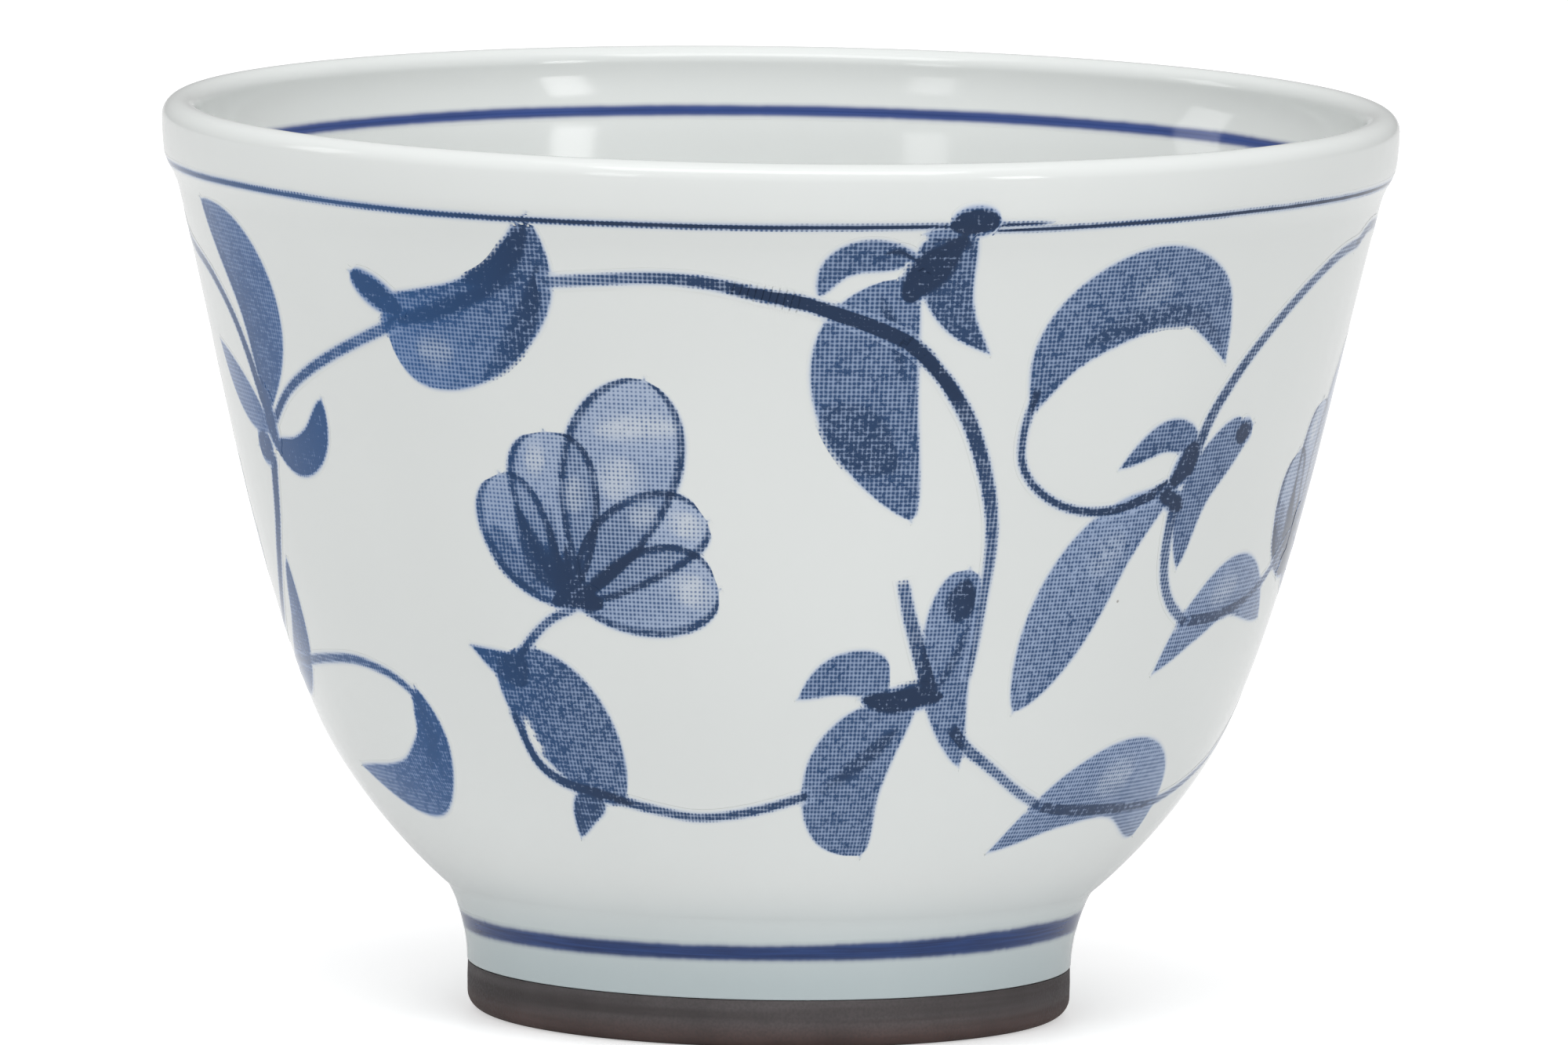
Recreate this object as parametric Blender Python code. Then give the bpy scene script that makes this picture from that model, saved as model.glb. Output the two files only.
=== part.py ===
"""A handleless porcelain teacup, turned about the Z axis.

Metres, +Z up. The origin is the middle of the circle that the foot stands on.

The cup is one thrown and turned clay body, modelled as the three zones that a potter
makes and finishes one after the other:

    bowl       the wall, the rounded lip and the base, thrown and then turned
    foot_ring  the glazed upper part of the foot, turned below the base
    foot_rim   the bare standing edge of the foot, dressed with an iron wash
"""

from math import cos, pi, radians, sin

import bmesh
import bpy
from mathutils import Vector

MM = 0.001

# Driving dimensions
HEIGHT = 62.0 * MM
LIP_RADIUS = 42.0 * MM
LIP_THICKNESS = 2.4 * MM
WALL_THICKNESS = 2.6 * MM
BASE_THICKNESS = 4.2 * MM

FOOT_RADIUS = 20.5 * MM
FOOT_TOP_RADIUS = 22.0 * MM
FOOT_TOP_Z = 8.6 * MM
FOOT_HOLE_RADIUS = 17.0 * MM
RECESS_DEPTH = 6.0 * MM

RIM_HEIGHT = 3.3 * MM
RIM_ROUNDING = 1.2 * MM

GAP = 0.3 * MM

# The wall is two curves that meet at the belly, where the low, wide sweep above the
# foot turns into the steep side. A reach says how far a curve keeps an end's slope.
BELLY_RADIUS = 31.0 * MM
BELLY_Z = 20.2 * MM
BELLY_SLOPE = radians(66)
BELLY_REACH_UP = 11.0 * MM
BELLY_REACH_DOWN = 4.5 * MM
WALL_TOP_RADIUS = 40.9 * MM
WALL_TOP_Z = 56.5 * MM
WALL_TOP_SLOPE = radians(76)
WALL_TOP_REACH = 13.0 * MM
UNDERCUT_SLOPE = radians(37)
UNDERCUT_REACH = 4.5 * MM
FLOOR_REACH = 14.0 * MM
INNER_BELLY_REACH = 7.0 * MM
FOOT_FLARE_SLOPE = radians(62)
FOOT_REACH = 1.6 * MM
BOSS_TAPER = 0.4 * MM

SEGMENTS = 72
SHARP_ANGLE = radians(35)


def bezier(start, start_handle, end_handle, end, steps):
    """Points along a cubic curve, both ends included."""
    points = []
    for i in range(steps + 1):
        t = i / steps
        s = 1 - t
        points.append(tuple(
            s**3 * a + 3 * s * s * t * b + 3 * s * t * t * c + t**3 * d
            for a, b, c, d in zip(start, start_handle, end_handle, end)
        ))
    return points


def arc(centre, radius, start, end, steps):
    """Points along an arc from angle start to angle end, both ends included."""
    angles = [start + (end - start) * i / steps for i in range(steps + 1)]
    return [(centre[0] + radius * cos(a), centre[1] + radius * sin(a)) for a in angles]


def step_along(point, slope, distance):
    """The point a distance away in the direction of the slope."""
    return (point[0] + distance * cos(slope), point[1] + distance * sin(slope))


def outer_wall():
    """The outside of the bowl, from below the lip down to the top of the foot."""
    belly = (BELLY_RADIUS, BELLY_Z)
    wall_top = (WALL_TOP_RADIUS, WALL_TOP_Z)
    foot_top = (FOOT_TOP_RADIUS, FOOT_TOP_Z + GAP)
    steep = bezier(
        wall_top,
        step_along(wall_top, WALL_TOP_SLOPE, -WALL_TOP_REACH),
        step_along(belly, BELLY_SLOPE, BELLY_REACH_UP),
        belly,
        9,
    )
    low = bezier(
        belly,
        step_along(belly, BELLY_SLOPE, -BELLY_REACH_DOWN),
        step_along(foot_top, UNDERCUT_SLOPE, UNDERCUT_REACH),
        foot_top,
        7,
    )
    return steep + low[1:]


def inner_wall():
    """The inside of the bowl, from the middle of its floor up to below the lip."""
    floor_z = RECESS_DEPTH + BASE_THICKNESS
    floor = (0.0, floor_z)
    inwards = BELLY_SLOPE + pi / 2
    belly = step_along((BELLY_RADIUS, BELLY_Z), inwards, WALL_THICKNESS)
    wall_top = (WALL_TOP_RADIUS - WALL_THICKNESS, WALL_TOP_Z)
    low = bezier(
        floor,
        (FLOOR_REACH, floor_z),
        step_along(belly, BELLY_SLOPE, -INNER_BELLY_REACH),
        belly,
        9,
    )
    steep = bezier(
        belly,
        step_along(belly, BELLY_SLOPE, BELLY_REACH_UP),
        step_along(wall_top, WALL_TOP_SLOPE, -WALL_TOP_REACH),
        wall_top,
        8,
    )
    return low + steep[1:]


def lip():
    """The rolled lip, from its inner side over the top to its outer side."""
    half = LIP_THICKNESS / 2
    centre = (LIP_RADIUS - half, HEIGHT - half)
    return arc(centre, half, pi, 0, 8)


def bowl_outline():
    """One closed half section, from the middle of the floor round to the underside."""
    boss_radius = FOOT_HOLE_RADIUS - GAP
    underside = [
        (boss_radius, FOOT_TOP_Z + GAP),
        (boss_radius - BOSS_TAPER, RECESS_DEPTH),
        (0.0, RECESS_DEPTH),
    ]
    return inner_wall() + lip() + outer_wall() + underside


def foot_ring_outline():
    """A closed section between the underside of the bowl and the bare rim."""
    bottom = (FOOT_RADIUS, RIM_HEIGHT + GAP)
    top = (FOOT_TOP_RADIUS, FOOT_TOP_Z)
    outside = bezier(
        top,
        step_along(top, FOOT_FLARE_SLOPE, -FOOT_REACH),
        step_along(bottom, pi / 2, FOOT_REACH),
        bottom,
        5,
    )
    inside = [(FOOT_HOLE_RADIUS, bottom[1]), (FOOT_HOLE_RADIUS, FOOT_TOP_Z)]
    return outside + inside


def foot_rim_outline():
    """A closed section with a flat standing face and two rounded edges."""
    outer = (FOOT_RADIUS - RIM_ROUNDING, RIM_ROUNDING)
    inner = (FOOT_HOLE_RADIUS + RIM_ROUNDING, RIM_ROUNDING)
    outside = [(FOOT_RADIUS, RIM_HEIGHT)] + arc(outer, RIM_ROUNDING, 0, -pi / 2, 4)
    inside = arc(inner, RIM_ROUNDING, -pi / 2, -pi, 4) + [(FOOT_HOLE_RADIUS, RIM_HEIGHT)]
    return outside + inside


def material(name, colour, roughness):
    """A plain Principled material."""
    made = bpy.data.materials.new(name)
    made.use_nodes = True
    shader = made.node_tree.nodes["Principled BSDF"]
    shader.inputs["Base Color"].default_value = (*colour, 1.0)
    shader.inputs["Roughness"].default_value = roughness
    shader.inputs["Metallic"].default_value = 0.0
    return made


def turned(name, outline, finish, closed):
    """Spin a half section about the Z axis into one closed body."""
    bm = bmesh.new()
    verts = [bm.verts.new((r, 0.0, z)) for r, z in outline]
    pairs = list(zip(verts, verts[1:]))
    if closed:
        pairs.append((verts[-1], verts[0]))
    edges = [bm.edges.new(pair) for pair in pairs]
    bmesh.ops.spin(
        bm,
        geom=verts + edges,
        cent=Vector((0, 0, 0)),
        axis=Vector((0, 0, 1)),
        angle=2 * pi,
        steps=SEGMENTS,
    )
    bmesh.ops.remove_doubles(bm, verts=bm.verts, dist=0.001 * MM)
    bmesh.ops.recalc_face_normals(bm, faces=bm.faces)
    mesh = bpy.data.meshes.new(name)
    bm.to_mesh(mesh)
    bm.free()
    mesh.materials.append(finish)
    mesh.shade_smooth()
    mesh.set_sharp_from_angle(angle=SHARP_ANGLE)
    piece = bpy.data.objects.new(name, mesh)
    bpy.context.collection.objects.link(piece)
    return piece


def clear_scene():
    for leftover in list(bpy.data.objects):
        bpy.data.objects.remove(leftover, do_unlink=True)


def build():
    clear_scene()
    glaze = material("white_glaze", (0.68, 0.70, 0.71), 0.12)
    foot_glaze = material("cool_foot_glaze", (0.55, 0.61, 0.63), 0.18)
    iron = material("iron_dressed_clay", (0.075, 0.062, 0.058), 0.75)
    turned("bowl", bowl_outline(), glaze, closed=False)
    turned("foot_ring", foot_ring_outline(), foot_glaze, closed=True)
    turned("foot_rim", foot_rim_outline(), iron, closed=True)


build()
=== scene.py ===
# %% [markdown]
# # A blue-and-white teacup, finished in Blender
#
# The cup is a handleless porcelain tea bowl with a vine printed in cobalt under a clear
# glaze. The plain shape arrives as a fixed frame: a bowl, a foot ring and a bare foot rim.
# This lesson turns a fine cup over that frame, prints the vine on it, and lights it. The
# mouth, the height and the foot are read from the frame, so the cup can't drift from it.

# %% The frame
from math import cos, degrees, pi, radians, sin

import bpy
import numpy as np
from mathutils import Euler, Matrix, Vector


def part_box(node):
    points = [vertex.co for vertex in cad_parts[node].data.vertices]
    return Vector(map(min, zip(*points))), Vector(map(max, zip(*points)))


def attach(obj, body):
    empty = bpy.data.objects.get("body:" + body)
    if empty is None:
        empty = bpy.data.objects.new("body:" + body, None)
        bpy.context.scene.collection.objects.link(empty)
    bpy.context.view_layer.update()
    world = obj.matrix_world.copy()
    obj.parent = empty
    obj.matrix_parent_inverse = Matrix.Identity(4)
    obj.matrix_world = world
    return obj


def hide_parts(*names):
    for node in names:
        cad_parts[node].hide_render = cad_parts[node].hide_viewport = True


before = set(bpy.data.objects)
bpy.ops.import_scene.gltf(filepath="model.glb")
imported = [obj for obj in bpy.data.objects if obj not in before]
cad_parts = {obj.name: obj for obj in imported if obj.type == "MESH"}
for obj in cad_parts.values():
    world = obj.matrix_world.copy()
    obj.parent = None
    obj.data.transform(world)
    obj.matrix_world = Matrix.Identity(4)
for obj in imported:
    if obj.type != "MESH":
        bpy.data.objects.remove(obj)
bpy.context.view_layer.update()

MM = 0.001


def deselect():
    """Leave nothing selected, so that the next operator works on its own piece only."""
    bpy.ops.object.select_all(action="DESELECT")


print("frame nodes:", ", ".join(sorted(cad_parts)))

# %% [markdown]
# ## The cup's driving sizes
#
# A potter works from a few calliper readings: the width of the mouth, the height, and the
# width of the foot. Those are read off the frame's boxes here. Only the finer facts, such
# as how thick the lip is, are stated. All drawing is done in millimetres, because that is
# how one thinks of a cup, and it is turned to metres when a mesh is made.

# %% Sizes read from the frame
_, bowl_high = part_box("bowl")
_, rim_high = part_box("foot_rim")

LIP_RADIUS = bowl_high[0] / MM
HEIGHT = bowl_high[2] / MM
FOOT_RADIUS = rim_high[0] / MM
RIM_TOP = rim_high[2] / MM

LIP_HALF = 1.2
WALL = 2.6
BELLY = (LIP_RADIUS - 11.0, 20.2)
BELLY_SLOPE = radians(66)
WALL_TOP = (LIP_RADIUS - 1.2, HEIGHT - 6.0)
WALL_SLOPE = radians(76)
FOOT_HOLE = FOOT_RADIUS - 3.5
RECESS = 6.0
BASE = 4.2

print(f"mouth {2 * LIP_RADIUS:.1f} mm, height {HEIGHT:.1f} mm, foot {2 * FOOT_RADIUS:.1f} mm")

# %% [markdown]
# ## The camera
#
# The cup is seen from a little above its rim, through a long lens from almost two metres
# away, so its ellipses are nearly the same all the way down. A short lens close by would
# make the foot's ellipse much rounder than the lip's. The camera leans by less than one
# degree, as a hand-set tripod does.

# %% The camera
CAMERA_DISTANCE = 1.8
CAMERA_RISE = radians(6.5)
CAMERA_LEAN = radians(0.82)
AIM = Vector((0.0006, 0.0, 0.0334))
SENSOR_WIDTH = 36.0
FOCAL_LENGTH = 608.0

lens_data = bpy.data.cameras.new("camera")
camera = bpy.data.objects.new("camera", lens_data)
bpy.context.collection.objects.link(camera)
lens_data.sensor_width = SENSOR_WIDTH
lens_data.lens = FOCAL_LENGTH
lens_data.clip_end = 20.0
back = Vector((0.0, -cos(CAMERA_RISE), sin(CAMERA_RISE)))
camera.location = AIM + back * CAMERA_DISTANCE
level = Euler((pi / 2 - CAMERA_RISE, 0.0, 0.0)).to_matrix()
lean = Euler((0.0, 0.0, CAMERA_LEAN)).to_matrix()
camera.rotation_euler = (level @ lean).to_euler()
bpy.context.scene.camera = camera
print(f"camera {degrees(CAMERA_RISE):.1f} degrees above the horizon")

# %% [markdown]
# ## Helpers for shader nodes
#
# Node trees are easier to read when each line of code is one node. `node` adds a node and
# plugs in its inputs: a value is typed into the socket, and a socket is linked to it. The
# kinds used most get a function each, which returns their output. `effect` starts a node
# group, for a finish that more than one material uses, and `place` puts it into one.

# %% Node helpers
def plug(tree, made, inputs):
    """Fill a node's inputs from (socket name or number, value or output socket) pairs."""
    for key, value in inputs:
        if isinstance(value, bpy.types.NodeSocket):
            tree.links.new(value, made.inputs[key])
        else:
            made.inputs[key].default_value = value


def node(tree, kind, inputs=(), **options):
    """Add a node, set its options and plug in its inputs."""
    made = tree.nodes.new("ShaderNode" + kind)
    for option, value in options.items():
        setattr(made, option, value)
    plug(tree, made, inputs)
    return made


def maths(tree, operation, *values):
    """The output of one Math node."""
    return node(tree, "Math", list(enumerate(values)), operation=operation).outputs[0]


def blend(tree, share, below, above):
    """The output of a colour Mix node: below where share is 0, above where it is 1."""
    colours = [(0, share), (6, below), (7, above)]
    return node(tree, "Mix", colours, data_type="RGBA").outputs[2]


def ramp(tree, value, low, high, to_low=0.0, to_high=1.0):
    """A smooth step from to_low to to_high as value goes from low to high."""
    limits = [("Value", value), (1, low), (2, high), (3, to_low), (4, to_high)]
    return node(tree, "MapRange", limits, interpolation_type="SMOOTHSTEP").outputs[0]


def vector(tree, operation, first, second=None):
    """The result of one Vector Math node. For SCALE, second is a number."""
    inputs = [(0, first)]
    if second is not None:
        inputs.append((3 if operation == "SCALE" else 1, second))
    return node(tree, "VectorMath", inputs, operation=operation).outputs[0]


def noise(tree, place_there, scale, detail, roughness=0.5):
    """The value of one Noise node."""
    facts = [("Vector", place_there), ("Scale", scale), ("Detail", detail),
             ("Roughness", roughness)]
    return node(tree, "TexNoise", facts).outputs["Fac"]


def effect(name, inputs, outputs):
    """A new node group. Returns the tree, its input node and its output node."""
    tree = bpy.data.node_groups.new(name, "ShaderNodeTree")
    for socket, kind in inputs:
        tree.interface.new_socket(socket, in_out="INPUT", socket_type="NodeSocket" + kind)
    for socket, kind in outputs:
        tree.interface.new_socket(socket, in_out="OUTPUT", socket_type="NodeSocket" + kind)
    return tree, tree.nodes.new("NodeGroupInput"), tree.nodes.new("NodeGroupOutput")


def place(tree, group, inputs=()):
    """Put a node group into a material."""
    return node(tree, "Group", inputs, node_tree=group)


def new_material(name):
    """A material with only a Principled shader. Returns it, its tree and the shader."""
    made = bpy.data.materials.new(name)
    made.use_nodes = True
    return made, made.node_tree, made.node_tree.nodes["Principled BSDF"]


# %% [markdown]
# ## The studio
#
# White china is lit with more air than light: a pale floor that runs out of sight, an even
# sky all round, and two large soft boxes, one overhead and one high in front. Three smaller
# boxes, two in front and one at the left, leave the soft marks of windows on the glaze. The
# floor looks brighter than the cup, which is what makes white porcelain read as a cool pale
# grey. It has a little light of its own, and more where the camera sees it directly, so
# that it can be that bright without lighting the cup too strongly from below.

# %% Floor, sky and soft boxes
PURE_WHITE = (1.0, 1.0, 1.0, 1.0)
FLOOR_GREY = (0.82, 0.82, 0.82, 1.0)
FLOOR_LIGHT = 0.12
LIGHT_WHERE_SEEN = 0.38
SKY_LIGHT = 0.38

deselect()
bpy.ops.mesh.primitive_circle_add(vertices=96, radius=6.0, fill_type="NGON")
floor = bpy.context.object
floor.name = "floor"
floor_paint, tree, shader = new_material("studio_floor")
seen = node(tree, "LightPath").outputs["Is Camera Ray"]
glow = maths(tree, "MULTIPLY_ADD", seen, LIGHT_WHERE_SEEN, FLOOR_LIGHT)
plug(tree, shader, [("Base Color", FLOOR_GREY), ("Roughness", 0.45),
                    ("Emission Color", PURE_WHITE), ("Emission Strength", glow)])
floor.data.materials.append(floor_paint)

sky = bpy.data.worlds.new("sky")
sky.use_nodes = True
sky.node_tree.nodes["Background"].inputs["Color"].default_value = PURE_WHITE
sky.node_tree.nodes["Background"].inputs["Strength"].default_value = SKY_LIGHT
bpy.context.scene.world = sky
bpy.context.scene.view_settings.view_transform = "Standard"


def soft_box(name, place, size, watts):
    """A rectangular lamp that faces the cup."""
    data = bpy.data.lights.new(name, "AREA")
    data.shape = "RECTANGLE"
    data.size, data.size_y = size
    data.energy = watts
    lamp = bpy.data.objects.new(name, data)
    lamp.location = place
    lamp.rotation_euler = (Vector(place) - AIM).to_track_quat("Z", "Y").to_euler()
    bpy.context.collection.objects.link(lamp)


soft_box("overhead_box", (0.0, -0.5, 2.6), (2.6, 2.0), 26.0)
soft_box("high_front_box", (0.0, -1.1, 2.5), (2.4, 1.0), 38.0)
soft_box("right_window", (1.3, -1.25, 0.75), (0.3, 0.5), 4.6)
soft_box("left_window", (-0.95, -1.53, 0.72), (0.3, 0.5), 2.3)
soft_box("side_window", (-1.7, 0.3, 0.8), (0.4, 0.6), 2.5)

# %% [markdown]
# ## The half section of the cup
#
# A thrown cup is one outline turned round an axis. The outline could be drawn as dozens of
# points, but then nobody could change it. Here it is a few smooth curves between named
# places, each with a stated slope at its ends: the steep wall, the sweep of the belly, the
# undercut above the foot, and a lip rolled a little further out than the wall.

# %% Curves for an outline
def sweep(start, start_slope, start_reach, end, end_slope, end_reach, steps):
    """Points on a curve that leaves start and arrives at end with those slopes."""
    a = np.array(start)
    b = a + start_reach * np.array((cos(start_slope), sin(start_slope)))
    d = np.array(end)
    c = d - end_reach * np.array((cos(end_slope), sin(end_slope)))
    t = np.linspace(0.0, 1.0, steps + 1)[:, None]
    s = 1.0 - t
    curve = s**3 * a + 3 * s * s * t * b + 3 * s * t * t * c + t**3 * d
    return [tuple(p) for p in curve]


def round_edge(centre, radius, start, end, steps):
    """Points on an arc between two angles in degrees."""
    turn = [radians(start + (end - start) * i / steps) for i in range(steps + 1)]
    return [(centre[0] + radius * cos(a), centre[1] + radius * sin(a)) for a in turn]


# %% The outline
GLAZE_LINE = RIM_TOP + 0.04
GLAZE_RADIUS = FOOT_RADIUS + 0.06
GLAZE_ROUND = 0.14
GLAZE_END = GLAZE_LINE + GLAZE_ROUND
FOOT_TOP = (FOOT_RADIUS + 1.5, RIM_TOP + 5.4)
LIP_START = (LIP_RADIUS - 0.78, HEIGHT - 4.9)
LIP_FACE = (LIP_RADIUS - 0.12, HEIGHT - 3.2)
LIP_CENTRE = (LIP_RADIUS - LIP_HALF, HEIGHT - LIP_HALF)
RECESS_ROUND = 1.6
RECESS_EDGE = (FOOT_HOLE - RECESS_ROUND, RECESS - 0.25)

outside = (
    sweep((GLAZE_RADIUS, GLAZE_END), radians(90), 1.6, FOOT_TOP, radians(58), 1.6, 14)
    + sweep(FOOT_TOP, radians(40), 4.2, BELLY, BELLY_SLOPE, 4.5, 24)[1:]
    + sweep(BELLY, BELLY_SLOPE, 11.0, WALL_TOP, WALL_SLOPE, 13.0, 36)[1:]
    + sweep(WALL_TOP, WALL_SLOPE, 0.5, LIP_START, radians(68), 0.5, 4)[1:]
    + sweep(LIP_START, radians(60), 0.7, LIP_FACE, radians(84), 0.7, 8)[1:]
    + sweep(LIP_FACE, radians(84), 0.6, (LIP_RADIUS, LIP_CENTRE[1]), radians(90), 0.6, 5)[1:]
)
lip = round_edge(LIP_CENTRE, LIP_HALF, 0, 180, 24)[1:]
inner_belly = (BELLY[0] - WALL * sin(BELLY_SLOPE), BELLY[1] + WALL * cos(BELLY_SLOPE))
inner_top = (WALL_TOP[0] - WALL, WALL_TOP[1])
inside = (
    sweep(lip[-1], radians(-92), 1.5, inner_top, WALL_SLOPE - pi, 1.5, 6)[1:]
    + sweep(inner_top, WALL_SLOPE - pi, 13.0, inner_belly, BELLY_SLOPE - pi, 11.0, 34)[1:]
    + sweep(inner_belly, BELLY_SLOPE - pi, 7.0, (0.0, RECESS + BASE), pi, 14.0, 34)[1:]
)
underside = (
    [(0.0, RECESS)]
    + sweep((0.0, RECESS), 0.0, 6.0, RECESS_EDGE, 0.0, 6.0, 14)[1:]
    + round_edge((RECESS_EDGE[0], RECESS_EDGE[1] - RECESS_ROUND), RECESS_ROUND, 90, 0, 8)[1:]
    + [(FOOT_HOLE, GLAZE_END)]
    + round_edge((FOOT_HOLE + GLAZE_ROUND, GLAZE_END), GLAZE_ROUND, 180, 270, 5)[1:]
    + round_edge((GLAZE_RADIUS - GLAZE_ROUND, GLAZE_END), GLAZE_ROUND, 270, 360, 5)[:-1]
)
glazed_outline = outside + lip + inside + underside
print(f"{len(glazed_outline)} points, lip {2 * LIP_HALF} mm thick, wall {WALL} mm")

# %% [markdown]
# ## Turning the clay
#
# In Blender the wheel is the Spin operator. A single point is placed where the outline
# starts, extruded along it point by point, and the line that this leaves is spun once
# round the Z axis. The first and last lines then meet, so doubled points are merged before
# the faces are turned outwards.

# %% The wheel
TURN_STEPS = 240
DOUBLED = 0.001 * MM


def start_point(name, radius, height):
    """An object holding one point on the +X side, in edit mode."""
    deselect()
    bpy.ops.mesh.primitive_plane_add(size=MM, location=(0.0, 0.0, 0.0))
    piece = bpy.context.object
    piece.name = name
    piece.data.name = name
    bpy.ops.object.mode_set(mode="EDIT")
    bpy.ops.mesh.select_all(action="SELECT")
    bpy.ops.mesh.merge(type="CENTER")
    bpy.ops.transform.translate(value=(radius * MM, 0.0, height * MM))
    return piece


def turn(name, outline, closed, smooth_below):
    """A body turned from an outline of (radius, height) points in millimetres."""
    piece = start_point(name, *outline[0])
    path = list(outline) + ([outline[0]] if closed else [])
    for (r0, z0), (r1, z1) in zip(path, path[1:]):
        step = ((r1 - r0) * MM, 0.0, (z1 - z0) * MM)
        bpy.ops.mesh.extrude_region_move(TRANSFORM_OT_translate={"value": step})
    bpy.ops.mesh.select_all(action="SELECT")
    bpy.ops.mesh.remove_doubles(threshold=DOUBLED)
    bpy.ops.mesh.spin(steps=TURN_STEPS, angle=2 * pi, center=(0, 0, 0), axis=(0, 0, 1))
    bpy.ops.mesh.select_all(action="SELECT")
    bpy.ops.mesh.remove_doubles(threshold=DOUBLED)
    bpy.ops.mesh.normals_make_consistent(inside=False)
    bpy.ops.object.mode_set(mode="OBJECT")
    bpy.ops.object.shade_smooth_by_angle(angle=radians(smooth_below))
    return piece


glazed_cup = turn("glazed_cup", glazed_outline, closed=True, smooth_below=50)
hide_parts("bowl", "foot_ring")
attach(glazed_cup, "root")
print(f"glazed_cup: {len(glazed_cup.data.polygons)} faces")

# %% [markdown]
# ## The bare foot edge
#
# The lowest three millimetres stay free of glaze, or the cup would stick to the kiln shelf.
# The potter brushes them with an iron wash that fires to a dry, reddish dark brown. It is
# a piece of its own so that the glaze can end over it in a small rounded line, a little
# proud of the bare clay.

# %% The foot edge
STANDING_ROUND = 1.2

foot_outline = (
    [(FOOT_RADIUS, RIM_TOP)]
    + [(FOOT_RADIUS + 0.02, 2.2), (FOOT_RADIUS, STANDING_ROUND)]
    + round_edge((FOOT_RADIUS - STANDING_ROUND, STANDING_ROUND), STANDING_ROUND, 0, -90, 12)[1:]
    + round_edge((FOOT_HOLE + STANDING_ROUND, STANDING_ROUND), STANDING_ROUND, -90, -180, 12)
    + [(FOOT_HOLE, RIM_TOP)]
)
foot_edge = turn("bare_foot_edge", foot_outline, closed=True, smooth_below=40)
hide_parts("foot_rim")
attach(foot_edge, "root")
print(f"bare_foot_edge: {len(foot_edge.data.polygons)} faces")

# %% [markdown]
# ## Clear glaze over white clay
#
# Seen close up, a white glaze isn't one white. It is a little greener where it runs thick,
# which is low on the foot and in the bottom of the cup, it drifts by a per cent or so over
# the wall, and here and there it holds a grain of iron. Its surface has a slow wave that
# bends reflections. All of this is one node group, because the printed films further on
# need exactly the same glaze round their ink, so that their edges can't be seen.

# %% The glaze effect
WHITE = (0.690, 0.712, 0.702, 1.0)
POOLED = (0.530, 0.605, 0.620, 1.0)
IRON_GRAIN = (0.22, 0.20, 0.18, 1.0)
POOL_FULL, POOL_GONE = 0.0035, 0.0125
FEW_GRAINS = 0.985
GRAIN_STRENGTH = 0.7
SKIN_DEPTH = 0.03

glaze, _, end = effect(
    "glaze_over_clay", [],
    [("Colour", "Color"), ("Roughness", "Float"), ("Height", "Float")],
)
spot = node(glaze, "TexCoord").outputs["Object"]
height = node(glaze, "SeparateXYZ", [(0, spot)]).outputs["Z"]
pooling = ramp(glaze, height, POOL_FULL, POOL_GONE, 1.0, 0.0)
drift = noise(glaze, spot, 45.0, 2.0)
uneven = ramp(glaze, drift, 0.25, 0.75, 0.985, 1.015)
pooled = blend(glaze, pooling, WHITE, POOLED)
drifting = vector(glaze, "SCALE", pooled, uneven)
grains = node(glaze, "TexVoronoi", [("Vector", spot), ("Scale", 260.0)])
grain_size = ramp(glaze, grains.outputs["Distance"], 0.018, 0.034, GRAIN_STRENGTH, 0.0)
grain_pick = node(glaze, "SeparateXYZ", [(0, grains.outputs["Color"])]).outputs["X"]
few = maths(glaze, "GREATER_THAN", grain_pick, FEW_GRAINS)
grain = maths(glaze, "MULTIPLY", grain_size, few)
coloured = blend(glaze, grain, drifting, IRON_GRAIN)
wave = noise(glaze, spot, 130.0, 1.0)
skin = noise(glaze, spot, 1500.0, 2.0)
relief = maths(glaze, "MULTIPLY_ADD", skin, SKIN_DEPTH, wave)
gloss = ramp(glaze, drift, 0.2, 0.8, 0.07, 0.12)
plug(glaze, end, [("Colour", coloured), ("Roughness", gloss), ("Height", relief)])

# %% The plain glaze material
WAVE_DEPTH = 0.012 * MM
GLOSS = 0.24


def glazed_material(name):
    """A material with the glaze's gloss and wave. Its white is returned last, still unused."""
    made, tree, shader = new_material(name)
    glazed = place(tree, glaze)
    relief = [("Height", glazed.outputs["Height"]), ("Strength", 1.0), ("Distance", WAVE_DEPTH)]
    bump = node(tree, "Bump", relief)
    plug(tree, shader, [("Roughness", glazed.outputs["Roughness"]), ("IOR", 1.5),
                        ("Specular IOR Level", GLOSS), ("Normal", bump.outputs["Normal"])])
    return made, tree, shader, glazed.outputs["Colour"]


white_glaze, tree, shader, white = glazed_material("white_glaze")
plug(tree, shader, [("Base Color", white)])
glazed_cup.data.materials.append(white_glaze)
print("white_glaze:", len(tree.nodes), "nodes, and", len(glaze.nodes), "in its group")

# %% [markdown]
# ## Iron wash on bare clay
#
# The wash is brushed on a spinning cup, so it lies in faint rings, and it is thinner on the
# sharp bottom edge, where the redder clay shows. The clay under it is dry and slightly
# sandy, so the surface scatters light and never shines. A Noise stretched far sideways
# gives the rings, a fine one gives the sand, and a broad one makes the wash patchy.

# %% The iron-dressed clay material
WASH_GREY = (0.084, 0.074, 0.076, 1.0)
WASH_DARK = (0.046, 0.037, 0.038, 1.0)
WASH_RED = (0.085, 0.048, 0.042, 1.0)
RED_AT_BOTTOM = 0.75
SAND_DEPTH = 0.03 * MM

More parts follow.
